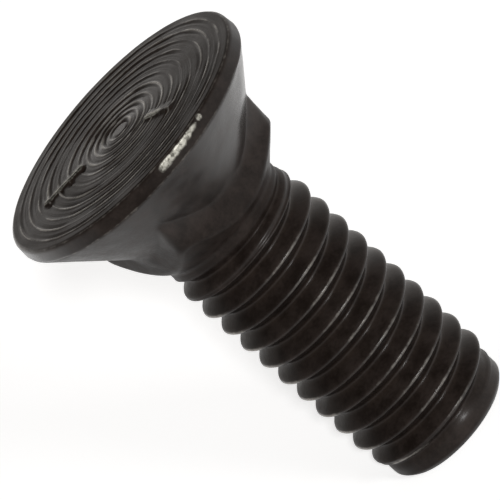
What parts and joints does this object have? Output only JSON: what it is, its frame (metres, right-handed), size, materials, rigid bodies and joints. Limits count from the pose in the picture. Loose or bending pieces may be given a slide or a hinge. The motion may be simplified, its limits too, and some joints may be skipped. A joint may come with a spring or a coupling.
{
  "type": "plow bolt",
  "caption": "Short black plow bolt with a flat countersunk head, a square neck that stops it turning and a coarse right-hand thread, standing on its flat tip.",
  "frame": {"origin": "middle of the flat tip, on the surface the bolt stands on", "axes": "+Z from the tip up to the face of the head, +X and +Y across the bolt"},
  "size_m": [0.0208, 0.0208, 0.0318],
  "materials": {
    "black_steel": "forged and heat treated steel with a dark oxide, satin, brown-black"
  },
  "bodies": {
    "root": {"plow_bolt": "black_steel"}
  },
  "joints": []
}
